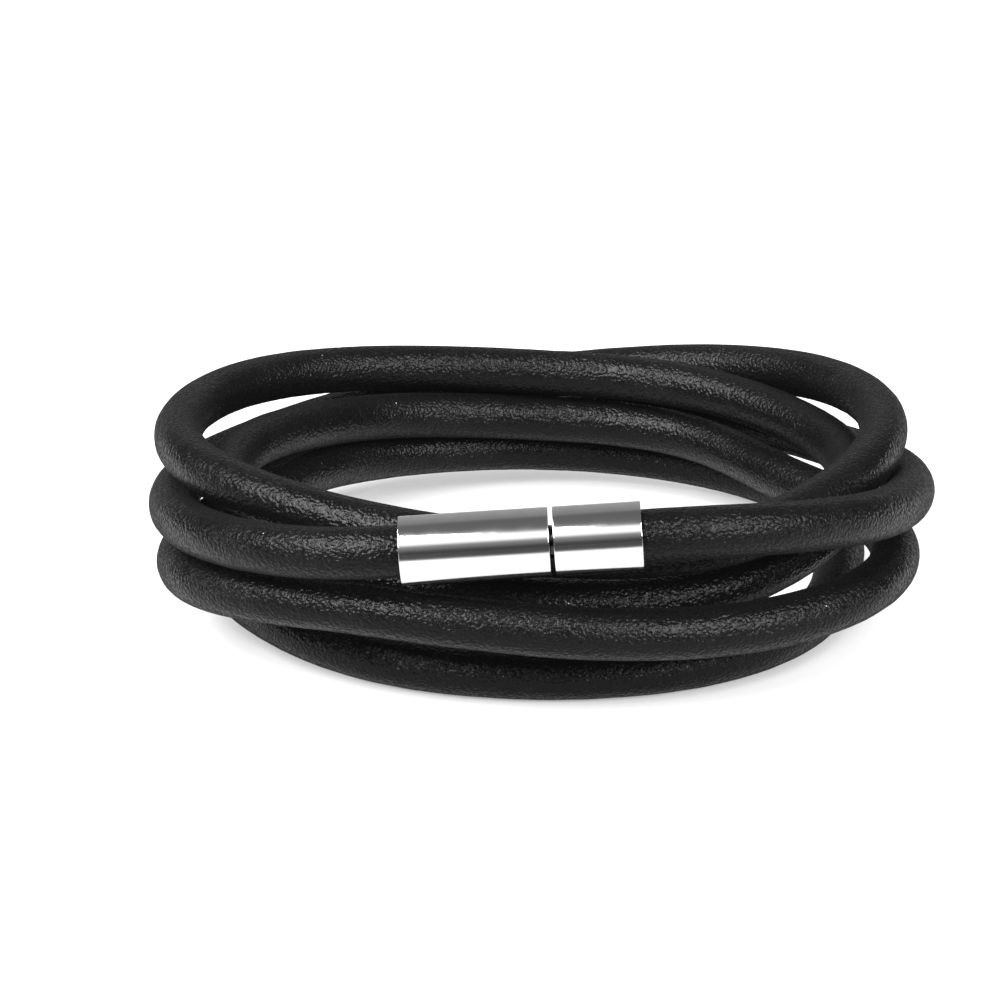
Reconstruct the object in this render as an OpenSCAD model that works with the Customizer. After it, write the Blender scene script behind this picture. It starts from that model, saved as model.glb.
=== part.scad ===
// Leather bracelet: one round leather cord wound in five turns and closed by a steel tube clasp.
// Millimetres. It lies flat on its side: +Z is up and -Y is the side with the clasp.

/* [Cord] */
// Diameter of the leather cord
cord_d = 3.7; // [3.2:0.1:3.8]
// Clear space between turns that lie against each other
turn_gap = 0.15; // [0.1:0.05:0.4]
// Length along the middle of all five turns, clasp included
total_length = 810; // [760:5:880]
// Corners round the section of the cord
cord_sides = 12; // [8:1:12]
// Sections along the coiled part of the cord
cord_rings = 224; // [168:14:280]

/* [Clasp] */
// Length of the closed clasp
clasp_length = 16.5; // [15:0.5:20]
// Outer diameter of the clasp
clasp_d = 4.8; // [4.4:0.1:4.9]
// Length of the long half of the clasp
long_length = 10.2; // [9:0.1:12]
// Open joint between the two halves
joint_gap = 0.3; // [0.2:0.05:0.5]
// Bevel on the outer edges of both halves
edge_bevel = 0.12; // [0.05:0.01:0.2]
// Slack between the cord and the cup that it is glued into
cup_slack = 0.1; // [0.06:0.02:0.2]
// Depth of the cord's cup in the long half
long_cup_depth = 4.5; // [3:0.5:5]
// Depth of the cord's cup in the short half
short_cup_depth = 4; // [3:0.5:4.5]
// Diameter of the plug on the short half
plug_d = 2.2; // [2:0.1:3.2]
// Length of the plug inside the long half
plug_reach = 4; // [3:0.5:4.5]
// Slack round the plug
plug_slack = 0.2; // [0.1:0.05:0.3]

/* [Hidden] */
$fn = 64;
cord_r = cord_d / 2;
clasp_r = clasp_d / 2;
pitch = cord_d + turn_gap;
short_length = clasp_length - long_length - joint_gap;
cup_r = cord_r + cup_slack / 2;
plug_r = plug_d / 2;
socket_r = plug_r + plug_slack / 2;
end_slack = 0.2;

// The lay of the five turns, as the coil was dropped on the table.
// Lane: distance out from the coil's middle radius. Level: height. Both count in pitches.
// Angles run from the clasp side towards +X, so the turns climb over and under each other.
turn_count = 5;
lay_step = 30;
lay = [
    // angle, turn 1, turn 2, turn 3, turn 4, turn 5, each as [lane, level]
    [0, [0.7, 3.6], [-0.9, 0.5], [0.5, 1.9], [-0.5, 2.05], [-0.5, 3.05]],
    [30, [1.1, 3.7], [-0.6, 0.5], [0.6, 1.5], [-0.5, 1.8], [-0.3, 2.8]],
    [60, [1.0, 2.9], [-0.55, 0.5], [1.1, 1.6], [-0.6, 2.15], [-0.3, 3.1]],
    [90, [0.5, 2.4], [-0.9, 0.5], [-0.05, 1.5], [-0.4, 2.5], [0.2, 3.4]],
    [120, [0.6, 1.7], [0.3, 0.5], [-1.3, 1.4], [-0.45, 2.45], [0.4, 3.3]],
    [150, [0.9, 1.6], [0.5, 0.6], [-0.3, 1.55], [-0.5, 2.65], [0.5, 2.8]],
    [180, [1.0, 1.2], [0.0, 0.8], [-0.6, 1.6], [-0.5, 2.6], [0.5, 2.2]],
    [210, [0.7, 0.8], [-0.4, 1.0], [-0.7, 2.0], [-0.2, 2.9], [0.4, 1.9]],
    [240, [0.2, 0.5], [-1.3, 1.55], [-1.4, 2.55], [0.2, 3.3], [-0.05, 1.9]],
    [270, [-0.5, 0.5], [-0.45, 1.45], [-0.75, 2.85], [0.3, 3.4], [0.0, 2.4]],
    [300, [-1.0, 0.5], [1.15, 1.55], [-0.25, 2.55], [0.3, 3.6], [1.0, 2.65]],
    [330, [-0.9, 0.5], [0.6, 2.2], [-0.4, 2.2], [-0.3, 3.3], [1.1, 3.2]],
];
lay_points = [for (turn = [1 : turn_count]) for (row = lay) row[turn]];
lay_count = len(lay_points);

// The clasp lies across the front: middle in mm, lane and level in pitches, rise in mm towards +X.
clasp_x = -0.9;
clasp_lane = 0.6;
clasp_level = 3.54;
clasp_rise = 1.1;
clasp_tilt = asin(clasp_rise / clasp_length);
// The cord leaves the clasp in one smooth curve that joins the coil this many degrees round
bridge_angle = 60;
bridge_rings = 7;
bridge_reach = 1.05;
clasp_dir = [cos(clasp_tilt), 0, sin(clasp_tilt)];

// Smooth curve through the lay, weighted over four neighbouring rows
function mix4(a, b, c, d, u) =
    (pow(1 - u, 3) * a + (3 * pow(u, 3) - 6 * u * u + 4) * b
    + (3 * u + 3 * u * u - 3 * pow(u, 3) + 1) * c + pow(u, 3) * d) / 6;
function lay_point(k) = lay_points[(k + lay_count) % lay_count];
function lay_at(angle) =
    let (k = floor(angle / lay_step), u = angle / lay_step - k)
    mix4(lay_point(k - 1), lay_point(k), lay_point(k + 1), lay_point(k + 2), u);

// Middle of the clasp, point on the coil and heading of the coil, for a middle radius of the coil
function clasp_at(radius) = [clasp_x, -(radius + clasp_lane * pitch), clasp_level * pitch];
function coil_point(angle, radius) =
    let (place = lay_at(angle), out = radius + place[0] * pitch)
    [out * sin(angle), -out * cos(angle), place[1] * pitch];
function unit(v) = v / norm(v);
function coil_dir(angle, radius) = unit(coil_point(angle + 1, radius) - coil_point(angle - 1, radius));

// One smooth curve from p, heading along p_dir, to q, heading along q_dir
function bridge(p, p_dir, q, q_dir, u) =
    let (reach = bridge_reach * norm(q - p))
    (2 * pow(u, 3) - 3 * u * u + 1) * p + (pow(u, 3) - 2 * u * u + u) * reach * p_dir
    + (3 * u * u - 2 * pow(u, 3)) * q + (pow(u, 3) - u * u) * reach * q_dir;

// Points along the free cord, from the clasp's right end round to its left end
function cord_line(radius, rings, ends) =
    let (a = bridge_angle, b = 360 * turn_count - bridge_angle)
    let (first = clasp_at(radius) + clasp_dir * clasp_length / 2)
    let (last = clasp_at(radius) - clasp_dir * clasp_length / 2)
    let (join_a = coil_point(a, radius), join_b = coil_point(b, radius))
    let (head_a = coil_dir(a, radius), head_b = coil_dir(b, radius))
    concat(
        [for (i = [0 : ends - 1]) bridge(first, clasp_dir, join_a, head_a, i / ends)],
        [for (i = [0 : rings]) coil_point(a + (b - a) * i / rings, radius)],
        [for (i = [1 : ends]) bridge(join_b, head_b, last, clasp_dir, i / ends)]
    );
function line_length(line, i = 1, total = 0) =
    i >= len(line) ? total : line_length(line, i + 1, total + norm(line[i] - line[i - 1]));
function loop_length(radius) = line_length(cord_line(radius, 840, 24)) + clasp_length;

// Middle radius of the coil, from the length that five turns of it take
radius_a = total_length / turn_count / 6.5;
radius_b = total_length / turn_count / 6.2;
length_a = loop_length(radius_a);
length_b = loop_length(radius_b);
coil_radius = radius_a + (radius_b - radius_a) * (total_length - length_a) / (length_b - length_a);

// The cord runs on into the cup of each half of the clasp
clasp_middle = clasp_at(coil_radius);
right_end = clasp_middle + clasp_dir * clasp_length / 2;
left_end = clasp_middle - clasp_dir * clasp_length / 2;
right_stub = right_end - clasp_dir * (short_cup_depth - end_slack);
left_stub = left_end + clasp_dir * (long_cup_depth - end_slack);
free_line = cord_line(coil_radius, cord_rings, bridge_rings);
raw_line = concat([right_stub], free_line, [left_stub]);
ring_count = len(raw_line);

// Stand the coil on the ground with the middle of its outline over the origin
xs = [for (p = raw_line) p[0]];
ys = [for (p = raw_line) p[1]];
zs = [for (p = raw_line) p[2]];
shift_x = -(min(xs) + max(xs)) / 2;
shift_y = -(clasp_middle[1] - clasp_r + max(ys) + cord_r) / 2;
shift_z = cord_r - min(zs);
shift = [shift_x, shift_y, shift_z];

// Round tube along a line: each ring stands square to the line with one corner straight up
function line_dir(i) =
    unit(raw_line[min(ring_count - 1, i + 1)] - raw_line[max(0, i - 1)]);
function ring(i) =
    let (along = line_dir(i), side = unit(cross(along, [0, 0, 1])), top = cross(side, along))
    [for (s = [0 : cord_sides - 1])
        let (turn = 360 * s / cord_sides)
        raw_line[i] + cord_r * (cos(turn) * top + sin(turn) * side)];
function tube_faces() =
    [for (i = [0 : ring_count - 2]) for (s = [0 : cord_sides - 1])
        let (n = (s + 1) % cord_sides, a = i * cord_sides, b = a + cord_sides)
        each [[a + s, b + s, b + n], [a + s, b + n, a + n]]];
function end_faces() =
    let (last = (ring_count - 1) * cord_sides)
    [for (s = [1 : cord_sides - 2]) each [[0, s, s + 1], [last, last + s + 1, last + s]]];

module leather_cord() {
    color("#1b1a19")
    translate(shift)
    polyhedron(
        points = [for (i = [0 : ring_count - 1]) each ring(i)],
        faces = concat(tube_faces(), end_faces()),
        convexity = 10
    );
}

// Puts a clasp half drawn along +Z, from its outer end inwards, on the line of the clasp
module on_clasp_line(end_point, turned) {
    translate(shift + end_point)
    rotate([0, turned - clasp_tilt, 0])
    children();
}

module clasp_long_half() {
    color("#c9cbcd")
    on_clasp_line(left_end, 90)
    rotate_extrude()
    polygon([
        [cup_r, 0],
        [clasp_r - edge_bevel, 0],
        [clasp_r, edge_bevel],
        [clasp_r, long_length - edge_bevel],
        [clasp_r - edge_bevel, long_length],
        [socket_r, long_length],
        [socket_r, long_length - plug_reach - end_slack],
        [0, long_length - plug_reach - end_slack],
        [0, long_cup_depth],
        [cup_r, long_cup_depth]
    ]);
}

module clasp_short_half() {
    color("#c9cbcd")
    on_clasp_line(right_end, -90)
    rotate_extrude()
    polygon([
        [cup_r, 0],
        [clasp_r - edge_bevel, 0],
        [clasp_r, edge_bevel],
        [clasp_r, short_length - edge_bevel],
        [clasp_r - edge_bevel, short_length],
        [plug_r, short_length],
        [plug_r, short_length + joint_gap + plug_reach - edge_bevel],
        [plug_r - edge_bevel, short_length + joint_gap + plug_reach],
        [0, short_length + joint_gap + plug_reach],
        [0, short_cup_depth],
        [cup_r, short_cup_depth]
    ]);
}

leather_cord();
clasp_long_half();
clasp_short_half();
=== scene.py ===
"""Leather bracelet: a round black cord wound in five turns and closed by a polished steel tube clasp.

Everything is in metres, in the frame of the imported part: +Z up, -Y towards the clasp.
"""

import math

import bpy
import numpy as np
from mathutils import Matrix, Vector


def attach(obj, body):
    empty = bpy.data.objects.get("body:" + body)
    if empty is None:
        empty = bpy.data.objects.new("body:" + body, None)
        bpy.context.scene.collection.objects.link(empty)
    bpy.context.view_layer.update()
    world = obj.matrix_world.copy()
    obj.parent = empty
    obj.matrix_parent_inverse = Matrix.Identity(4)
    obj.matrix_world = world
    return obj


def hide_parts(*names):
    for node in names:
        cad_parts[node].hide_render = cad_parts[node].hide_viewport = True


bl_info = {
    "name": "Leather cord bracelet",
    "version": (1, 0, 0),
    "blender": (4, 5, 0),
    "location": "3D View > Sidebar > Bracelet",
    "description": "A wound leather cord with a steel tube clasp, on a pale table",
    "category": "Object",
}

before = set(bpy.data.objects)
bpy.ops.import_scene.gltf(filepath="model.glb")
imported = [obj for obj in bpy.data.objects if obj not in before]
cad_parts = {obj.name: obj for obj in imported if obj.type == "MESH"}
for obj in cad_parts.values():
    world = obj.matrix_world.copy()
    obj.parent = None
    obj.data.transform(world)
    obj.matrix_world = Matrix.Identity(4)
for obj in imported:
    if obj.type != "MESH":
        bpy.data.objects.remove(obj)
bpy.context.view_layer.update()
MM = 0.001

# The lay of the five turns. Lane is the distance out from the coil's middle radius and level is the
# height, both in pitches. Rows run from the clasp side towards +X.
# angle, then [lane, level] of turns one to five
LAY = [
    [0, [0.7, 3.6], [-0.9, 0.5], [0.5, 1.9], [-0.5, 2.05], [-0.5, 3.05]],
    [30, [1.1, 3.7], [-0.6, 0.5], [0.6, 1.5], [-0.5, 1.8], [-0.3, 2.8]],
    [60, [1.0, 2.9], [-0.55, 0.5], [1.1, 1.6], [-0.6, 2.15], [-0.3, 3.1]],
    [90, [0.5, 2.4], [-0.9, 0.5], [-0.05, 1.5], [-0.4, 2.5], [0.2, 3.4]],
    [120, [0.6, 1.7], [0.3, 0.5], [-1.3, 1.4], [-0.45, 2.45], [0.4, 3.3]],
    [150, [0.9, 1.6], [0.5, 0.6], [-0.3, 1.55], [-0.5, 2.65], [0.5, 2.8]],
    [180, [1.0, 1.2], [0.0, 0.8], [-0.6, 1.6], [-0.5, 2.6], [0.5, 2.2]],
    [210, [0.7, 0.8], [-0.4, 1.0], [-0.7, 2.0], [-0.2, 2.9], [0.4, 1.9]],
    [240, [0.2, 0.5], [-1.3, 1.55], [-1.4, 2.55], [0.2, 3.3], [-0.05, 1.9]],
    [270, [-0.5, 0.5], [-0.45, 1.45], [-0.75, 2.85], [0.3, 3.4], [0.0, 2.4]],
    [300, [-1.0, 0.5], [1.15, 1.55], [-0.25, 2.55], [0.3, 3.6], [1.0, 2.65]],
    [330, [-0.9, 0.5], [0.6, 2.2], [-0.4, 2.2], [-0.3, 3.3], [1.1, 3.2]],
]
TURNS = 5
LAY_STEP = 30
# The cord leaves the clasp in one smooth curve that joins the coil this many degrees round
BRIDGE_ANGLE = 60
BRIDGE_REACH = 1.05

# The clasp's middle, its rise towards +X, and its hollows
CLASP_X = -0.9 * MM
CLASP_LANE = 0.6
CLASP_LEVEL = 3.54
CLASP_RISE = 1.1 * MM
LONG_CUP = 4.5 * MM
SHORT_CUP = 4.0 * MM
CUP_SLACK = 0.1 * MM
END_SLACK = 0.2 * MM
PLUG_RADIUS = 1.1 * MM
PLUG_REACH = 4.0 * MM
PLUG_SLACK = 0.2 * MM

# How finely the line is worked out: sections along the coil, then sections of each bridge
CAD_STEPS = (224, 7)
LENGTH_STEPS = (840, 24)
LINE_STEPS = (9000, 300)
# Two trial lengths of a turn whose radius is one, a little over and a little under the circle's
TRIAL_TURNS = (6.5, 6.2)

# The grids of the meshes
STUB_STEPS = 60
CORD_RINGS = 2340
CORD_SIDES = 40
CLASP_SIDES = 160
CORNER_STEPS = 7
INNER_ROUNDING = 0.4

# The unevenness of the cord's skin, all of it pressed inwards.
# name: length of one cell along the cord, seed, cells round the cord
SKIN_CELLS = {
    "swell": (0.013, 11, 3),
    "long dents": (0.0035, 12, 5),
    "short dents": (0.0017, 13, 8),
    "ridges": (0.0008, 14, 7),
    "creased places": (0.006, 15, 4),
}
SWELL_DEPTH = 0.028 * MM
DENT_DEPTH = 0.05 * MM
CREASE_DEPTH = 0.022 * MM
CREASE_LEAN = 1.5

# The camera's focal length in widths of its sensor, its shift, and a point on its axis, which is given in
# the coil's own frame
SENSOR_WIDTH = 36.0
FOCAL_RATIO = 3.629
CAMERA_SHIFT = (-0.043, 0.0012)
CAMERA_TARGET = np.array([0.59, 0.0, 7.16]) * MM
CLIP_NEAR = 0.01
CLIP_FAR = 50.0

# The softboxes stand this far from the coil and aim at its middle height.
# name, azimuth and elevation in degrees, width, height, share of the key light
LIGHT_DISTANCE = 2.4
LIGHT_AIM = Vector((0.0, 0.0, 0.008))
SOFTBOXES = (
    ("softbox_left", -42.5, 45.0, 1.2, 1.6, 1.04),
    ("softbox_side", -82.0, 45.0, 1.3, 1.5, 0.5),
    ("softbox_right", 52.0, 33.0, 1.9, 1.4, 0.62),
)

# A ramp turns a value into another by a smooth step: low, high, result at low, result at high.
# The room's light is the sum of these parts, and each part is the product of its ramps over the direction
# that the light comes from: up is z, back is y, and aside is the distance of x to either side.
ROOM_PARTS = {
    "all round, less overhead": [("up", 0.85, 0.97, 0.35, 0.185)],
    "less low in front": [("up", 0.15, 0.5, -0.275, 0.0), ("back", -0.2, 0.2, 1.0, 0.0)],
    "more behind": [("back", 0.45, 0.95, 0.0, 0.12)],
    "less low behind at the sides": [
        ("up", 0.35, 0.65, -0.32, 0.0),
        ("back", 0.1, 0.5, 0.0, 1.0),
        ("aside", 0.2, 0.45, 0.0, 1.0),
    ],
    "a band in front, halfway up": [
        ("up", 0.46, 0.66, 0.0, 1.0),
        ("up", 0.78, 0.9, 1.5, 0.0),
        ("back", -0.3, -0.15, 1.0, 0.0),
        ("aside", 0.18, 0.34, 1.0, 0.0),
    ],
}
WHITE = (1.0, 1.0, 1.0, 1.0)

# The table, whose glow fades to a share of itself close under what stands on it, as a painted contact
# shadow
TABLE_HALF = 6.0
TABLE_ROUGHNESS = 0.7
TABLE_GLOSS = 0.2
MOTTLE_SCALE = 9.0
MOTTLE_SHADE = 1.02
PAINTED_SHADOW_REACH = 0.0065
PAINTED_SHADOW_RANGE = (0.05, 0.7)
PAINTED_SHADOW_SHARE = 0.38
PAINTED_SHADOW_SAMPLES = 2

# The black card in front, with a painted glow at its foot that stands in for the table's light
CARD_HALF = 0.3
CARD_Y = -0.078
CARD_HEIGHT = 0.018
CARD_SCALE = 40.0
CARD_COLOR = (0.05, 0.05, 0.05)
CARD_PAINTED_GLOW_RAMP = (0.0, 0.006, 0.6, 0.03)

# The leather's pattern, with scales in cells for each width of a grain
GRAIN_SCALE = 1.25
GRAIN_FINENESS = 0.4
WRINKLE_SCALE = 0.5
PUSH_SCALE = 0.45
PORE_SCALE = 4.0
# Scales in cells per metre
PATCH_SCALE = 190.0
WORN_SCALE = 60.0
DUST_SCALE = 350.0
# How cells and wrinkles are scaled along and across the cord, and how many grains the push moves them
CELL_SHAPE = (0.8, 1.0, 1.0)
WRINKLE_SHAPE = (1.0, 0.35, 0.35)
PUSH_REACH = 1.1
# Heights as shares of the grain's
CELL_SHARE = 0.3
WRINKLE_SHARE = 0.25
PORE_SHARE = 0.06
# Ramps of the cells' height, of the relief's depth by patches, and of where the leather is worn or dusty
CELL_RAMP = (0.15, 0.75, 1.0, 0.0)
DEPTH_RAMP = (0.3, 0.7, 0.75, 1.15)
WORN_TOPS_RAMP = (0.6, 1.1, 0.0, 1.0)
WORN_PLACES_RAMP = (0.35, 0.7, 0.25, 1.0)
DUST_RAMP = (0.012, 0.02, 1.0, 0.0)
DUST_COLOR = (0.35, 0.34, 0.33)
# Ramps of the roughness by grain, by patches and towards the rims
GRAIN_ROUGHNESS_RAMP = (0.36, 0.6, 0.36, 0.14)
PATCH_ROUGHNESS_RAMP = (0.3, 0.7, -0.02, 0.05)
RIM_ROUGHNESS_RAMP = (0.52, 0.9, 0.0, 0.42)
RIM_BLEND = 0.5
LEATHER_GLOSS = 0.079
# A faint painted glow on the leather, which is no lamp, that keeps its darkest places from being fully
# black
LEATHER_PAINTED_GLOW = 0.0028

# The steel's polish, with scales in cells per metre
LINE_SCALE = 16000.0
LINE_SHAPE = (0.03, 1.0, 1.0)
LINE_FINENESS = 0.6
LINE_SHARE = 0.5
MARK_SCALE = 5200.0
MARK_SHAPE = (0.12, 1.0, 1.0)
HAIR_RAMP = (0.0, 0.012, 0.0, 1.0)
HAIR_SHARE = 0.4
POLISH_DEPTH = 0.0000002
CLOUD_SCALE = 700.0
CLOUD_FINENESS = 0.55
CLOUD_RAMP = (0.35, 0.7, 0.0, 1.0)
CLOUD_SHADE = 0.94
STEEL_ROUGHNESS_RAMP = (0.3, 0.75, 0.1, 0.14)
# Ramp over the distance from the clasp's axis, where the painted shade on its inner faces ends
BORE_PAINTED_SHADE_RAMP = (0.00195, 0.0021, 0.0, 1.0)
BORE_PAINTED_SHADE_COLOR = (0.03, 0.03, 0.03)
ACROSS = (0.0, 1.0, 1.0)


class CordSettings(bpy.types.PropertyGroup):
    """Sizes and colours of the leather cord."""

    diameter: bpy.props.FloatProperty(
        name="Diameter", description="Diameter of the leather cord",
        default=0.0037, min=0.003, max=0.005, precision=5, unit="LENGTH")
    turn_gap: bpy.props.FloatProperty(
        name="Turn gap", description="Clear space between turns that lie against each other",
        default=0.00015, min=0.00005, max=0.0005, precision=5, unit="LENGTH")
    total_length: bpy.props.FloatProperty(
        name="Length", description="Length round all five turns, clasp included",
        default=0.81, min=0.7, max=0.9, precision=4, unit="LENGTH")
    leather_color: bpy.props.FloatVectorProperty(
        name="Leather", description="Colour of the dyed leather",
        default=(0.0015, 0.0015, 0.0016), min=0.0, max=1.0, size=3, subtype="COLOR")
    worn_color: bpy.props.FloatVectorProperty(
        name="Worn leather", description="Colour on the tops of the grain, where the dye is thinner",
        default=(0.0035, 0.0034, 0.0033), min=0.0, max=1.0, size=3, subtype="COLOR")
    grain_size: bpy.props.FloatProperty(
        name="Grain size", description="Width of one grain of the leather",
        default=0.00028, min=0.0001, max=0.001, precision=5, unit="LENGTH")
    grain_depth: bpy.props.FloatProperty(
        name="Grain depth", description="Height of the grain above the creases",
        default=0.000095, min=0.0, max=0.0003, precision=6, unit="LENGTH")


class ClaspSettings(bpy.types.PropertyGroup):
    """Sizes and colours of the steel clasp."""

    length: bpy.props.FloatProperty(
        name="Length", description="Length of the closed clasp",
        default=0.0165, min=0.014, max=0.02, precision=5, unit="LENGTH")
    diameter: bpy.props.FloatProperty(
        name="Diameter", description="Outer diameter of the clasp",
        default=0.0048, min=0.0044, max=0.0052, precision=5, unit="LENGTH")
    long_length: bpy.props.FloatProperty(
        name="Long half", description="Length of the long half",
        default=0.0102, min=0.008, max=0.013, precision=5, unit="LENGTH")
    joint_gap: bpy.props.FloatProperty(
        name="Joint gap", description="Open joint between the two halves",
        default=0.0003, min=0.0001, max=0.0006, precision=5, unit="LENGTH")
    steel_color: bpy.props.FloatVectorProperty(
        name="Steel", description="Colour of the polished steel",
        default=(0.6, 0.6, 0.604), min=0.0, max=1.0, size=3, subtype="COLOR")
    edge_round: bpy.props.FloatProperty(
        name="Edge rounding", description="Radius of the rounded outer edges",
        default=0.00006, min=0.00004, max=0.0003, precision=5, unit="LENGTH")


class StageSettings(bpy.types.PropertyGroup):
    """Camera, lights and table."""

    elevation: bpy.props.FloatProperty(
        name="Camera elevation", description="Angle of the camera above the table",
        default=math.radians(18.79), min=0.0, max=1.5, subtype="ANGLE")
    distance: bpy.props.FloatProperty(
        name="Camera distance", description="Distance from the camera to the bracelet",
        default=0.2753, min=0.1, max=1.0, precision=4, unit="LENGTH")
    key_light: bpy.props.FloatProperty(
        name="Key light", description="Radiance of a softbox whose share of the key light is one",
        default=31.0, min=0.0, max=100.0)
    floor_color: bpy.props.FloatVectorProperty(
        name="Table", description="Colour of the table top",
        default=(0.18, 0.18, 0.18), min=0.0, max=1.0, size=3, subtype="COLOR")
    floor_glow: bpy.props.FloatProperty(
        name="Table glow", description="Light that the table top gives off, as a light table does",
        default=0.85, min=0.0, max=1.0)


# The cord's route

def lay_at(angle):
    """Lane and level at angles in degrees: a uniform cubic B-spline through the rows of LAY, taken turn
    after turn, so each value is a weighted mean of four neighbouring rows. Returns (n, 2)."""
    rows = np.array([row[turn] for turn in range(1, TURNS + 1) for row in LAY], float)
    place = np.atleast_1d(angle) / LAY_STEP
    k = np.floor(place).astype(int)
    u = (place - k)[:, None]
    n = len(rows)
    weights = ((1 - u) ** 3, 3 * u**3 - 6 * u**2 + 4, -3 * u**3 + 3 * u**2 + 3 * u + 1, u**3)
    return sum(w * rows[(k + j) % n] for j, w in zip((-1, 0, 1, 2), weights)) / 6


def coil_point(angle, radius, pitch):
    """Points on the coil: radius plus lane times pitch out from the middle, level times pitch up."""
    place = lay_at(angle)
    out = radius + place[:, 0] * pitch
    a = np.radians(np.atleast_1d(angle))
    return np.stack([out * np.sin(a), -out * np.cos(a), place[:, 1] * pitch], axis=1)


def coil_heading(angle, radius, pitch):
    """Unit direction of the coil at one angle, from points a degree to each side."""
    ends = coil_point(np.array([angle - 1.0, angle + 1.0]), radius, pitch)
    step = ends[1] - ends[0]
    return step / np.linalg.norm(step)


def bridge(p, p_dir, q, q_dir, u):
    """Cubic Hermite curve from p heading along p_dir to q heading along q_dir, at shares u of the way."""
    reach = BRIDGE_REACH * np.linalg.norm(q - p)
    u = u[:, None]
    return ((2 * u**3 - 3 * u**2 + 1) * p + (u**3 - 2 * u**2 + u) * reach * p_dir
            + (3 * u**2 - 2 * u**3) * q + (u**3 - u**2) * reach * q_dir)


def clasp_axis(length):
    """Unit direction of the clasp, which rises by CLASP_RISE over its length towards +X."""
    tilt = math.asin(CLASP_RISE / length)
    return np.array([math.cos(tilt), 0.0, math.sin(tilt)])


def clasp_middle(radius, pitch):
    """Middle of the clasp, in front of a coil of this middle radius."""
    return np.array([CLASP_X, -(radius + CLASP_LANE * pitch), CLASP_LEVEL * pitch])


def cord_line(radius, pitch, clasp_length, steps):
    """Points along the free cord, from the clasp's right end round the coil to its left end: a bridge,
    the coil at even steps of angle, and a bridge back."""
    rings, ends = steps
    a, b = float(BRIDGE_ANGLE), 360.0 * TURNS - BRIDGE_ANGLE
    axis = clasp_axis(clasp_length)
    middle = clasp_middle(radius, pitch)
    first, last = middle + axis * clasp_length / 2, middle - axis * clasp_length / 2
    join_a, join_b = (coil_point(np.array([t]), radius, pitch)[0] for t in (a, b))
    head_a, head_b = (coil_heading(t, radius, pitch) for t in (a, b))
    u = np.arange(ends) / ends
    return np.concatenate([
        bridge(first, axis, join_a, head_a, u),
        coil_point(a + (b - a) * np.arange(rings + 1) / rings, radius, pitch),
        bridge(join_b, head_b, last, axis, u + 1 / ends),
    ])


def line_length(line):
    """Sum of the distances from each point to the next."""
    return float(np.linalg.norm(np.diff(line, axis=0), axis=1).sum())


def coil_radius(total, pitch, clasp_length):
    """Middle radius that makes the whole loop as long as total. The length grows in a straight line
    with the radius, so two trials and a proportion give it."""
    low, high = (total / TURNS / around for around in TRIAL_TURNS)
    at_low, at_high = (
        line_length(cord_line(r, pitch, clasp_length, LENGTH_STEPS)) + clasp_length for r in (low, high))
    return low + (high - low) * (total - at_low) / (at_high - at_low)


def place_on_ground(coarse, middle, cord_radius, clasp_radius):
    """Shift that stands the coil on the ground with the middle of its outline over the origin."""
    low, high = coarse.min(axis=0), coarse.max(axis=0)
    return np.array([
        -(low[0] + high[0]) / 2,
        -(middle[1] - clasp_radius + high[1] + cord_radius) / 2,
        cord_radius - low[2],
    ])


def resample(line, count):
    """count points at even lengths along a finely sampled line, and the length up to each."""
    steps = np.linalg.norm(np.diff(line, axis=0), axis=1)
    run = np.concatenate([[0.0], np.cumsum(steps)])
    even = np.linspace(0.0, run[-1], count)
    return np.stack([np.interp(even, run, line[:, k]) for k in range(3)], axis=1), even


def layout():
    """The measured layout that every piece is built on: cord line, clasp ends, axis and shift."""
    cord, clasp = bpy.context.scene.cord_settings, bpy.context.scene.clasp_settings
    pitch = cord.diameter + cord.turn_gap
    radius = coil_radius(cord.total_length, pitch, clasp.length)
    axis = clasp_axis(clasp.length)
    middle = clasp_middle(radius, pitch)
    coarse = cord_line(radius, pitch, clasp.length, CAD_STEPS)
    shift = place_on_ground(coarse, middle, cord.diameter / 2, clasp.diameter / 2)
    return {
        "line": cord_line(radius, pitch, clasp.length, LINE_STEPS) + shift,
        "axis": axis,
        "right": middle + axis * clasp.length / 2 + shift,
        "left": middle - axis * clasp.length / 2 + shift,
        "shift": shift,
    }


# Surfaces

def smooth_cells(s, t, seed, cells_round):
    """Value noise on a grid of cells: random heights at the cells' corners, joined by a smooth step in
    both directions. s counts cells along the cord and t is 0 to 1 round it, closed on itself."""
    rng = np.random.RandomState(seed)
    rows = int(np.ceil(s.max())) + 3
    heights = rng.rand(rows, cells_round)
    i = np.floor(s).astype(int)
    fs = s - i
    v = t * cells_round
    j = np.floor(v).astype(int)
    fv = v - j
    fs, fv = (f * f * (3 - 2 * f) for f in (fs, fv))
    a, b = heights[i, j % cells_round], heights[i, (j + 1) % cells_round]
    c, d = heights[i + 1, j % cells_round], heights[i + 1, (j + 1) % cells_round]
    return (a * (1 - fv) + b * fv) * (1 - fs) + (c * (1 - fv) + d * fv) * fs


def skin_cells(name, s, t, lean=0.0):
    """The row of SKIN_CELLS with this name at s metres along the cord and t round it. The rows of cells
    lean along the cord by lean cells in one way round."""
    length, seed, cells_round = SKIN_CELLS[name]
    return smooth_cells(s / length + lean * t, t, seed, cells_round)


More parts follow.
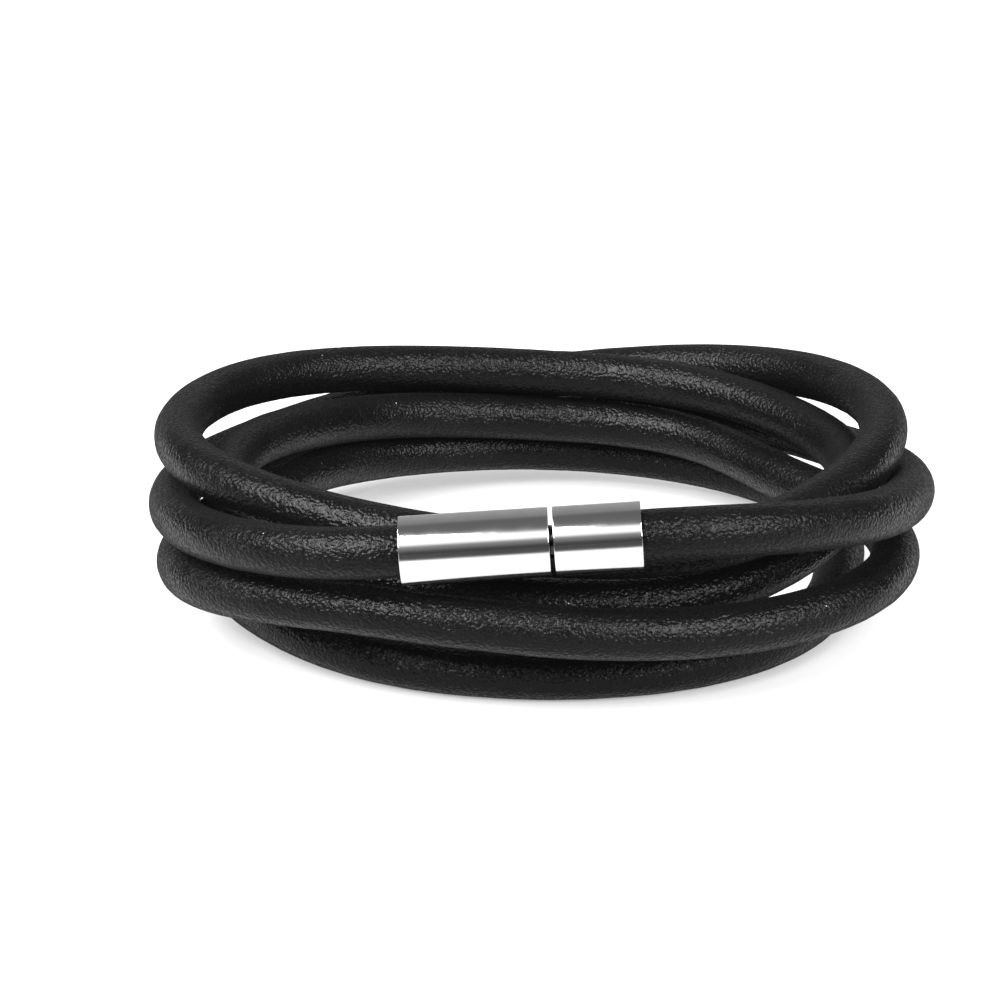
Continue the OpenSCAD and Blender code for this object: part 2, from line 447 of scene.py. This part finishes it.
def cord_surface(centres, run, radius, around):
    """The cord's skin: rings square to the line, each point out from the centre by
    radius - swell - dents - creases, all of them only inwards. The swell is slow along the cord, the
    dents are a few millimetres long, and the creases run across it.
    Returns points (n, around, 3) and the straightened place of each: length along and place across."""
    along = np.gradient(centres, axis=0)
    along /= np.linalg.norm(along, axis=1)[:, None]
    side = np.cross(along, [0.0, 0.0, 1.0])
    side /= np.linalg.norm(side, axis=1)[:, None]
    top = np.cross(side, along)
    s, t = np.meshgrid(run, np.arange(around) / around, indexing="ij")
    dents = skin_cells("long dents", s, t) * skin_cells("short dents", s, t)
    ridge = np.abs(2 * skin_cells("ridges", s, t, CREASE_LEAN) - 1)
    creases = (1 - ridge) ** 3 * skin_cells("creased places", s, t)
    reach = radius - SWELL_DEPTH * skin_cells("swell", s, t) - DENT_DEPTH * dents - CREASE_DEPTH * creases
    c, z = np.cos(2 * np.pi * t), np.sin(2 * np.pi * t)
    out = c[..., None] * top[:, None] + z[..., None] * side[:, None]
    return centres[:, None] + reach[..., None] * out, np.stack([s, radius * c, radius * z], axis=-1)


def lathe(start, axis, profile, around):
    """Surface of revolution: a profile of (distance along the axis, radius), carried round the axis
    through start. Returns points as rings, one ring for each point of the profile."""
    side = np.cross(axis, [0.0, 1.0, 0.0])
    side /= np.linalg.norm(side)
    up = np.cross(side, axis)
    turn = 2 * np.pi * np.arange(around) / around
    spoke = np.cos(turn)[:, None] * side + np.sin(turn)[:, None] * up
    along, out = profile.T
    return start + along[:, None, None] * axis + out[:, None, None] * spoke


def rounded(corner, before, after, radius):
    """Soft corner of a profile: a quadratic curve from radius before the corner to radius after it, with
    the corner as its handle."""
    corner, before, after = (np.asarray(p, float) for p in (corner, before, after))
    a = corner + (before - corner) / np.linalg.norm(before - corner) * radius
    b = corner + (after - corner) / np.linalg.norm(after - corner) * radius
    u = np.linspace(0.0, 1.0, CORNER_STEPS)[:, None]
    return (1 - u) ** 2 * a + 2 * u * (1 - u) * corner + u**2 * b


def half_profile(corners, outer, edge):
    """Profile of a clasp half: its corners with each one rounded but the first and last, which lie on the
    axis. The outer edges are rounded by edge and the inner ones by a share of it."""
    soft = [
        rounded(corner, before, after, edge if corner[1] == outer else edge * INNER_ROUNDING)
        for before, corner, after in zip(corners, corners[1:], corners[2:])
    ]
    return np.concatenate([corners[:1], *soft, corners[-1:]])


def grid_faces(rows, columns):
    """Quads of a grid of rows by columns that is closed round in the columns' direction, facing out."""
    i, j = np.meshgrid(np.arange(rows - 1), np.arange(columns), indexing="ij")
    n = (j + 1) % columns
    low, high = i * columns, (i + 1) * columns
    return np.stack([high + j, high + n, low + n, low + j], axis=-1).reshape(-1, 4)


def make_mesh(name, points, quads, caps):
    """A smooth mesh from arrays: points, quads and a list of end polygons."""
    mesh = bpy.data.meshes.new(name)
    loops = np.concatenate([quads.ravel(), *caps]).astype(np.int32)
    sizes = np.concatenate([np.full(len(quads), 4), [len(cap) for cap in caps]]).astype(np.int32)
    starts = np.concatenate([[0], np.cumsum(sizes)[:-1]]).astype(np.int32)
    mesh.vertices.add(len(points))
    mesh.vertices.foreach_set("co", np.ascontiguousarray(points, np.float32).ravel())
    mesh.loops.add(len(loops))
    mesh.loops.foreach_set("vertex_index", loops)
    mesh.polygons.add(len(sizes))
    mesh.polygons.foreach_set("loop_start", starts)
    mesh.polygons.foreach_set("use_smooth", np.ones(len(sizes), bool))
    mesh.update(calc_edges=True)
    mesh.validate()
    return mesh


def keep_straight(mesh, straight):
    """Stores each point's straightened place on the mesh, for the materials to read."""
    held = mesh.attributes.new("straight", "FLOAT_VECTOR", "POINT")
    held.data.foreach_set("vector", np.ascontiguousarray(straight, np.float32).ravel())


def add_piece(name, mesh, material, node):
    """Links a finished mesh as a piece that stands for one CAD node and rides on the body."""
    piece = bpy.data.objects.new(name, mesh)
    bpy.context.scene.collection.objects.link(piece)
    mesh.materials.append(material)
    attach(piece, "root")
    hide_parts(node)
    return piece


def turned_mesh(name, start, axis, profile):
    """A closed solid of revolution. The profile's first and last points are its poles.
    Returns the mesh and its points."""
    rings = lathe(start, axis, profile[1:-1], CLASP_SIDES)
    count = len(rings)
    poles = start + profile[[0, -1], :1] * axis
    points = np.concatenate([rings.reshape(-1, 3), poles])
    first = np.arange(CLASP_SIDES)
    after = (first + 1) % CLASP_SIDES
    last = (count - 1) * CLASP_SIDES
    low_pole, high_pole = (np.full(CLASP_SIDES, count * CLASP_SIDES + end) for end in (0, 1))
    low = np.stack([first, after, low_pole], axis=1)
    high = np.stack([last + after, last + first, high_pole], axis=1)
    return make_mesh(name, points, grid_faces(count, CLASP_SIDES), [*low, *high]), points


# Materials

class Shading:
    """Adds the nodes of a material or of the room. A value is an output socket, a number or a colour, and
    all methods but fill and node return outputs of the nodes that they add."""

    def __init__(self, tree):
        self.nodes = tree.nodes
        self.links = tree.links
        self.nodes.clear()

    def fill(self, node, values):
        """Feeds a node's inputs from a dictionary of their names or numbers and the values. An output is
        linked, and a number or colour is set on the input itself."""
        for key, value in values.items():
            socket = node.inputs[key]
            if isinstance(value, bpy.types.NodeSocket):
                self.links.new(value, socket)
            else:
                socket.default_value = value

    def node(self, kind, values=None, **options):
        """One node of a kind, with its options set before its inputs are filled. Returns the node."""
        node = self.nodes.new(kind)
        for name, option in options.items():
            setattr(node, name, option)
        self.fill(node, values or {})
        return node

    def straight(self):
        """The piece's straightened place: length along it, then two distances across."""
        return self.node("ShaderNodeAttribute", attribute_name="straight").outputs["Vector"]

    def place(self, output="Object"):
        """The place on the object, or with Generated the direction in the room."""
        return self.node("ShaderNodeTexCoord").outputs[output]

    def split(self, vector):
        """The vector's x, y and z, as three outputs."""
        node = self.node("ShaderNodeSeparateXYZ", {"Vector": vector})
        return [node.outputs[axis] for axis in "XYZ"]

    def math(self, operation, *values):
        """One Math node on one or two values."""
        return self.node("ShaderNodeMath", dict(enumerate(values)), operation=operation).outputs["Value"]

    def total(self, first, *others):
        """The sum of the values."""
        for other in others:
            first = self.math("ADD", first, other)
        return first

    def product(self, first, *others):
        """The product of the values."""
        for other in others:
            first = self.math("MULTIPLY", first, other)
        return first

    def moved(self, vector, push, reach):
        """The vector moved by reach times another vector."""
        values = {0: push, 1: (reach, reach, reach), 2: vector}
        return self.node("ShaderNodeVectorMath", values, operation="MULTIPLY_ADD").outputs["Vector"]

    def length(self, vector):
        """The length of the vector."""
        return self.node("ShaderNodeVectorMath", {0: vector}, operation="LENGTH").outputs["Value"]

    def stretched(self, vector, scale):
        """The vector scaled by three factors."""
        return self.node("ShaderNodeMapping", {"Vector": vector, "Scale": scale}).outputs["Vector"]

    def noise(self, vector, scale, detail=1.0, roughness=0.5, output="Fac"):
        """One Noise Texture on a vector, with its scale in cells per metre."""
        values = {"Vector": vector, "Scale": scale, "Detail": detail, "Roughness": roughness}
        return self.node("ShaderNodeTexNoise", values).outputs[output]

    def cells(self, vector, scale):
        """Distance from the middle of the nearest cell, as a share of a cell, with cells per metre."""
        return self.node("ShaderNodeTexVoronoi", {"Vector": vector, "Scale": scale}).outputs["Distance"]

    def ramp(self, value, ends):
        """Smooth step of a value, with ends that are (low, high, result at low, result at high)."""
        low, high, at_low, at_high = ends
        values = {"Value": value, "From Min": low, "From Max": high, "To Min": at_low, "To Max": at_high}
        return self.node("ShaderNodeMapRange", values, interpolation_type="SMOOTHSTEP").outputs["Result"]

    def mix(self, factor, a, b):
        """Two colours mixed: all a at factor 0 and all b at factor 1."""
        values = {"Factor": factor, "A": a, "B": b}
        return self.node("ShaderNodeMix", values, data_type="RGBA").outputs["Result"]

    def bump(self, height, distance, over=None):
        """One Bump node at full strength, distance metres deep, over another bump's normal if given."""
        values = {"Strength": 1.0, "Distance": distance, "Height": height}
        if over is not None:
            values["Normal"] = over
        return self.node("ShaderNodeBump", values).outputs["Normal"]


def opaque(color, share=1.0):
    """A colour scaled by share and held at one, with full alpha."""
    return (*(min(1.0, share * channel) for channel in color), 1.0)


def new_material(name):
    """A material that holds only a Principled shader. Returns it, its nodes and the shader."""
    material = bpy.data.materials.new(name)
    material.use_nodes = True
    tree = Shading(material.node_tree)
    shader = tree.node("ShaderNodeBsdfPrincipled")
    tree.node("ShaderNodeOutputMaterial", {"Surface": shader.outputs["BSDF"]})
    return material, tree, shader


def leather_relief(tree, vector, grain_size, patches):
    """The leather's height: fine grain, soft cells and wrinkles across the cord, with the cells and the
    wrinkles pushed about by a slow noise, and all of it deeper in some patches.
    Returns the height and the grain alone."""
    grains = 1.0 / grain_size
    push = tree.noise(vector, grains * PUSH_SCALE, output="Color")
    pushed = tree.moved(vector, push, grain_size * PUSH_REACH)
    cells = tree.ramp(tree.cells(tree.stretched(pushed, CELL_SHAPE), grains), CELL_RAMP)
    grain = tree.noise(vector, grains * GRAIN_SCALE, roughness=GRAIN_FINENESS)
    wrinkles = tree.noise(tree.stretched(pushed, WRINKLE_SHAPE), grains * WRINKLE_SCALE)
    height = tree.total(tree.product(cells, CELL_SHARE), grain, tree.product(wrinkles, WRINKLE_SHARE))
    return tree.product(height, tree.ramp(patches, DEPTH_RAMP)), grain


def leather_material(settings):
    """Black dyed leather on the straightened cord, with leather_relief's height and finer pores in it.
    The tops of the relief are worn paler in places. The tops of the grain are the glossiest, the gloss
    changes from patch to patch and dulls towards the rims, and there are a few specks of dust."""
    material, tree, shader = new_material("black_leather")
    vector = tree.straight()
    patches = tree.noise(vector, PATCH_SCALE, detail=2.0)
    height, grain = leather_relief(tree, vector, settings.grain_size, patches)
    relief = tree.bump(height, settings.grain_depth)
    pores = tree.noise(vector, PORE_SCALE / settings.grain_size)
    worn_places = tree.ramp(tree.noise(vector, WORN_SCALE), WORN_PLACES_RAMP)
    worn = tree.product(tree.ramp(height, WORN_TOPS_RAMP), worn_places)
    dyed = tree.mix(worn, opaque(settings.leather_color), opaque(settings.worn_color))
    dust = tree.ramp(tree.cells(vector, DUST_SCALE), DUST_RAMP)
    rim = tree.node("ShaderNodeLayerWeight", {"Blend": RIM_BLEND}).outputs["Facing"]
    tree.fill(shader, {
        "Base Color": tree.mix(dust, dyed, opaque(DUST_COLOR)),
        "Roughness": tree.total(
            tree.ramp(grain, GRAIN_ROUGHNESS_RAMP),
            tree.ramp(patches, PATCH_ROUGHNESS_RAMP),
            tree.ramp(rim, RIM_ROUGHNESS_RAMP)),
        "Specular IOR Level": LEATHER_GLOSS,
        "Normal": tree.bump(pores, settings.grain_depth * PORE_SHARE, relief),
        # A faint painted glow that lifts the leather's darkest places off full black
        "Emission Color": WHITE,
        "Emission Strength": LEATHER_PAINTED_GLOW,
    })
    return material


def steel_material(settings):
    """Polished steel: bright metal with very fine polishing lines along the tube, soft cloudy changes of
    gloss and a few hairline marks. Its inner faces are painted near black, as painted shade in its
    hollows."""
    material, tree, shader = new_material("polished_steel")
    vector = tree.straight()
    lines = tree.noise(tree.stretched(vector, LINE_SHAPE), LINE_SCALE, detail=2.0, roughness=LINE_FINENESS)
    cloud = tree.noise(vector, CLOUD_SCALE, detail=3.0, roughness=CLOUD_FINENESS)
    marks = tree.noise(tree.stretched(vector, MARK_SHAPE), MARK_SCALE)
    hairs = tree.ramp(tree.math("ABSOLUTE", tree.math("SUBTRACT", marks, 0.5)), HAIR_RAMP)
    height = tree.total(tree.product(lines, LINE_SHARE), tree.product(hairs, HAIR_SHARE))
    bright, clouded = opaque(settings.steel_color), opaque(settings.steel_color, CLOUD_SHADE)
    steel = tree.mix(tree.ramp(cloud, CLOUD_RAMP), bright, clouded)
    out = tree.length(tree.stretched(vector, ACROSS))
    tree.fill(shader, {
        # Near black on the inner faces: painted shade in the clasp's hollows
        "Base Color": tree.mix(tree.ramp(out, BORE_PAINTED_SHADE_RAMP), opaque(BORE_PAINTED_SHADE_COLOR), steel),
        "Roughness": tree.ramp(cloud, STEEL_ROUGHNESS_RAMP),
        "Metallic": 1.0,
        "Normal": tree.bump(height, POLISH_DEPTH),
    })
    return material


def floor_material(settings):
    """Matt white top of a light table, with a barely visible mottle and a soft glow of its own that
    fades where something stands close above it, as a painted contact shadow."""
    material, tree, shader = new_material("white_table")
    mottle = tree.noise(tree.place(), MOTTLE_SCALE, detail=2.0)
    light, shade = opaque(settings.floor_color), opaque(settings.floor_color, MOTTLE_SHADE)
    painted_shadow_occlusion = tree.node("ShaderNodeAmbientOcclusion", {"Distance": PAINTED_SHADOW_REACH}, samples=PAINTED_SHADOW_SAMPLES)
    glow = settings.floor_glow
    tree.fill(shader, {
        "Base Color": tree.mix(mottle, light, shade),
        "Roughness": TABLE_ROUGHNESS,
        "Specular IOR Level": TABLE_GLOSS,
        "Emission Color": WHITE,
        # The glow fades close under the coil: a painted contact shadow
        "Emission Strength": tree.ramp(painted_shadow_occlusion.outputs["AO"], (*PAINTED_SHADOW_RANGE, PAINTED_SHADOW_SHARE * glow, glow)),
    })
    return material


def card_material():
    """Matt black card, slightly uneven, with a painted glow fading up its lower edge in place of the
    table's light.
    """
    material, tree, shader = new_material("black_card")
    place = tree.place()
    height = tree.split(place)[2]
    tree.fill(shader, {
        "Base Color": opaque(CARD_COLOR),
        "Roughness": tree.noise(place, CARD_SCALE, detail=2.0),
        # Painted glow up the card's foot, standing in for the table's light
        "Emission Color": WHITE,
        "Emission Strength": tree.ramp(height, CARD_PAINTED_GLOW_RAMP),
    })
    return material


def room_light(tree):
    """Brightness of the room by the direction that its light comes from, as the sum of ROOM_PARTS.
    Returns the output."""
    x, y, z = tree.split(tree.place("Generated"))
    ways = {"up": z, "back": y, "aside": tree.math("ABSOLUTE", x)}
    parts = [[tree.ramp(ways[way], ends) for way, *ends in part] for part in ROOM_PARTS.values()]
    return tree.total(*(tree.product(*part) for part in parts))


# Operators

class BRACELET_OT_camera(bpy.types.Operator):
    """Sets the camera in front of the clasp, looking down on the coil."""

    bl_idname = "bracelet.camera"
    bl_label = "Set the camera"

    def execute(self, context):
        stage = context.scene.stage_settings
        back = np.array([0.0, -math.cos(stage.elevation), math.sin(stage.elevation)])
        data = bpy.data.cameras.new("camera")
        data.sensor_width = SENSOR_WIDTH
        data.lens = SENSOR_WIDTH * FOCAL_RATIO
        data.shift_x, data.shift_y = CAMERA_SHIFT
        data.clip_start, data.clip_end = CLIP_NEAR, CLIP_FAR
        camera = bpy.data.objects.new("camera", data)
        camera.location = Vector(CAMERA_TARGET + layout()["shift"] + back * stage.distance)
        camera.rotation_euler = (math.pi / 2 - stage.elevation, 0.0, 0.0)
        context.scene.collection.objects.link(camera)
        context.scene.camera = camera
        return {"FINISHED"}


class BRACELET_OT_cord(bpy.types.Operator):
    """Builds the leather cord with its skin, from one end inside the clasp to the other."""

    bl_idname = "bracelet.cord"
    bl_label = "Build the cord"

    def execute(self, context):
        cord = context.scene.cord_settings
        plan = layout()
        right = plan["right"] - plan["axis"] * (SHORT_CUP - END_SLACK)
        left = plan["left"] + plan["axis"] * (LONG_CUP - END_SLACK)
        u = np.linspace(0.0, 1.0, STUB_STEPS)[:, None]
        line = np.concatenate([
            right + (plan["right"] - right) * u[:-1],
            plan["line"],
            plan["left"] + (left - plan["left"]) * u[1:],
        ])
        centres, run = resample(line, CORD_RINGS)
        points, straight = cord_surface(centres, run, cord.diameter / 2, CORD_SIDES)
        first = np.arange(CORD_SIDES)
        last = (first + (CORD_RINGS - 1) * CORD_SIDES)[::-1]
        quads = grid_faces(CORD_RINGS, CORD_SIDES)
        mesh = make_mesh("leather_cord_skin", points.reshape(-1, 3), quads, [first, last])
        keep_straight(mesh, straight)
        piece = add_piece("leather_cord_skin", mesh, leather_material(cord), "leather_cord")
        return {"FINISHED"}


class BRACELET_OT_clasp(bpy.types.Operator):
    """Builds the two steel halves of the clasp as turned tubes with rounded edges."""

    bl_idname = "bracelet.clasp"
    bl_label = "Build the clasp"

    def execute(self, context):
        clasp, cord = context.scene.clasp_settings, context.scene.cord_settings
        plan = layout()
        axis, left = plan["axis"], plan["left"]
        across = np.cross(axis, [0.0, 1.0, 0.0])
        steel = steel_material(clasp)
        outer = clasp.diameter / 2
        cup = (cord.diameter + CUP_SLACK) / 2
        socket = PLUG_RADIUS + PLUG_SLACK / 2
        long_end = clasp.long_length
        short_end = clasp.length - clasp.long_length - clasp.joint_gap
        socket_end = long_end - PLUG_REACH - END_SLACK
        plug_end = short_end + clasp.joint_gap + PLUG_REACH
        # name, replaced node, outer end, direction inwards, corners as (distance along, radius)
        halves = (
            ("clasp_long_tube", "clasp_long_half", left, axis, [
                (LONG_CUP, 0.0), (LONG_CUP, cup), (0.0, cup), (0.0, outer), (long_end, outer),
                (long_end, socket), (socket_end, socket), (socket_end, 0.0)]),
            ("clasp_short_tube", "clasp_short_half", plan["right"], -axis, [
                (SHORT_CUP, 0.0), (SHORT_CUP, cup), (0.0, cup), (0.0, outer), (short_end, outer),
                (short_end, PLUG_RADIUS), (plug_end, PLUG_RADIUS), (plug_end, 0.0)]),
        )
        for name, node, start, inwards, corners in halves:
            profile = half_profile(corners, outer, clasp.edge_round)
            mesh, points = turned_mesh(name, start, inwards, profile)
            rel = points - left
            keep_straight(mesh, np.stack([rel @ axis, rel[:, 1], rel @ across], axis=1))
            add_piece(name, mesh, steel, node)
        return {"FINISHED"}


def stage_sheet(name, corners, material):
    """One flat four-cornered sheet that belongs to the stage. Returns its object."""
    mesh = bpy.data.meshes.new(name)
    mesh.from_pydata(corners, [], [(0, 1, 2, 3)])
    mesh.materials.append(material)
    sheet = bpy.data.objects.new(name, mesh)
    bpy.context.scene.collection.objects.link(sheet)
    return sheet


def softbox(name, azimuth, elevation, width, height, radiance):
    """A rectangular lamp that shines at the coil from a direction given in degrees."""
    a, e = math.radians(azimuth), math.radians(elevation)
    back = Vector((math.sin(a) * math.cos(e), -math.cos(a) * math.cos(e), math.sin(e)))
    data = bpy.data.lights.new(name, "AREA")
    data.shape = "RECTANGLE"
    data.size, data.size_y = width, height
    data.energy = radiance * math.pi * width * height
    lamp = bpy.data.objects.new(name, data)
    lamp.location = back * LIGHT_DISTANCE + LIGHT_AIM
    lamp.rotation_euler = (-back).to_track_quat("-Z", "Y").to_euler()
    bpy.context.scene.collection.objects.link(lamp)


class BRACELET_OT_stage(bpy.types.Operator):
    """Sets the white table, a low black card that shapes the reflections in the clasp, three softboxes
    and the room's dim light."""

    bl_idname = "bracelet.stage"
    bl_label = "Set the stage"

    def execute(self, context):
        scene, stage = context.scene, context.scene.stage_settings
        scene.view_settings.view_transform = "Standard"
        scene.view_settings.look = "None"
        scene.view_settings.exposure = 0.0
        scene.view_settings.gamma = 1.0
        t, c, y, h = TABLE_HALF, CARD_HALF, CARD_Y, CARD_HEIGHT
        stage_sheet("table", [(-t, -t, 0), (t, -t, 0), (t, t, 0), (-t, t, 0)], floor_material(stage))
        card = stage_sheet("black_card", [(-c, y, 0), (c, y, 0), (c, y, h), (-c, y, h)], card_material())
        card.visible_camera = False
        card.visible_shadow = False
        for name, azimuth, elevation, width, height, share in SOFTBOXES:
            softbox(name, azimuth, elevation, width, height, stage.key_light * share)
        scene.world = bpy.data.worlds.new("room")
        scene.world.use_nodes = True
        tree = Shading(scene.world.node_tree)
        shade = tree.node("ShaderNodeBackground", {"Strength": room_light(tree), "Color": WHITE})
        tree.node("ShaderNodeOutputWorld", {"Surface": shade.outputs["Background"]})
        return {"FINISHED"}


class BRACELET_PT_panel(bpy.types.Panel):
    """Lists the bracelet's sizes and its building steps in the sidebar."""

    bl_idname = "BRACELET_PT_panel"
    bl_label = "Bracelet"
    bl_space_type = "VIEW_3D"
    bl_region_type = "UI"
    bl_category = "Bracelet"

    def draw(self, context):
        for name in SETTINGS:
            group = getattr(context.scene, name)
            box = self.layout.box()
            for key in group.__annotations__:
                box.prop(group, key)
        for operator in OPERATORS:
            self.layout.operator(operator.bl_idname)


OPERATORS = (BRACELET_OT_camera, BRACELET_OT_cord, BRACELET_OT_clasp, BRACELET_OT_stage)
SETTINGS = {
    "cord_settings": CordSettings,
    "clasp_settings": ClaspSettings,
    "stage_settings": StageSettings,
}
CLASSES = (*SETTINGS.values(), *OPERATORS, BRACELET_PT_panel)


def register():
    for cls in CLASSES:
        bpy.utils.register_class(cls)
    for key, cls in SETTINGS.items():
        setattr(bpy.types.Scene, key, bpy.props.PointerProperty(type=cls))


def unregister():
    for key in SETTINGS:
        delattr(bpy.types.Scene, key)
    for cls in CLASSES[::-1]:
        bpy.utils.unregister_class(cls)


def main():
    register()
    bpy.ops.bracelet.camera()
    bpy.ops.bracelet.cord()
    bpy.ops.bracelet.clasp()
    bpy.ops.bracelet.stage()
    bpy.context.view_layer.update()


if __name__ == "__main__":
    main()
